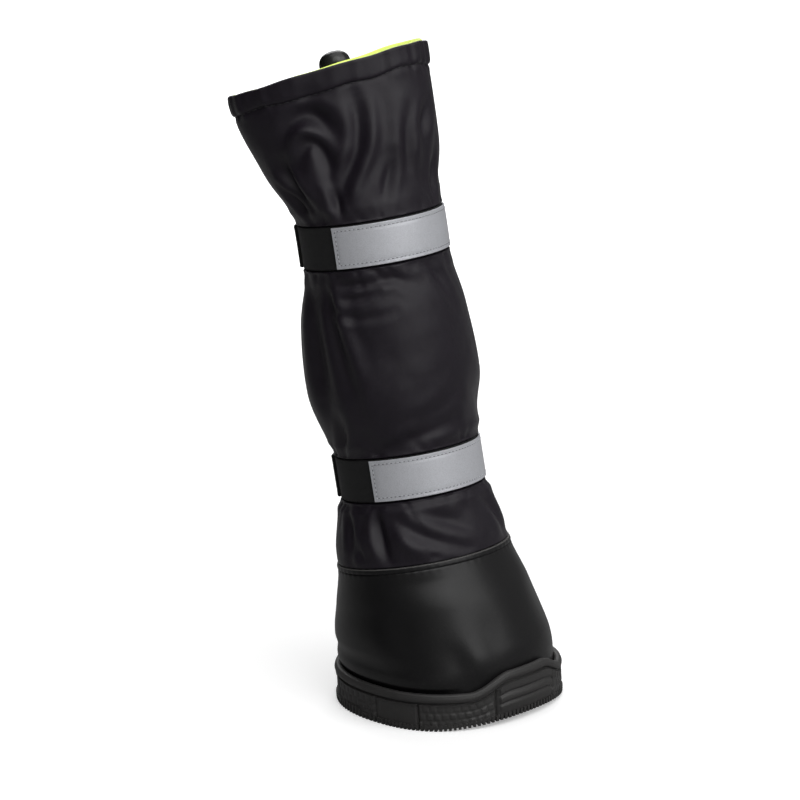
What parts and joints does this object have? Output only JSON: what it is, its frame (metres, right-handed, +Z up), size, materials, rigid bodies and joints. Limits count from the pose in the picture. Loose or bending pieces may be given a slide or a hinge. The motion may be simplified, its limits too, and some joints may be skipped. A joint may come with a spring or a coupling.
{
  "type": "dog shoe",
  "caption": "Tall slip-on boot for a large dog: rubber cup sole with toe bumper, leather-like vamp, padded nylon shaft with reflective straps, drawcord collar",
  "frame": {"origin": "On the floor, at the middle of the six-sided tread pad under the sole, which is the middle of the sole's length and width", "axes": "+Z up along the shaft, -Y towards the toe, +X across the sole"},
  "size_m": [0.0846, 0.1225, 0.2644],
  "materials": {
    "rubber": "matt black moulded rubber with fine texture panels",
    "insole_foam": "black fabric over thin foam",
    "leather": "smooth satin black leather-like sheet",
    "nylon": "padded near-black woven nylon with a soft sheen",
    "lining": "fluorescent yellow-green lining fabric",
    "webbing": "black hook-and-loop webbing",
    "tape": "silver-grey reflective tape with stitched edges",
    "cord": "black round elastic cord",
    "stop_plastic": "glossy black moulded plastic"
  },
  "bodies": {
    "root": {"outsole": "rubber", "insole": "insole_foam", "vamp": "leather", "shaft": "nylon", "strap_lower": "webbing", "strap_upper": "webbing", "tape_lower": "tape", "tape_upper": "tape", "drawcord": "cord", "cord_stop": "stop_plastic"}
  },
  "joints": []
}
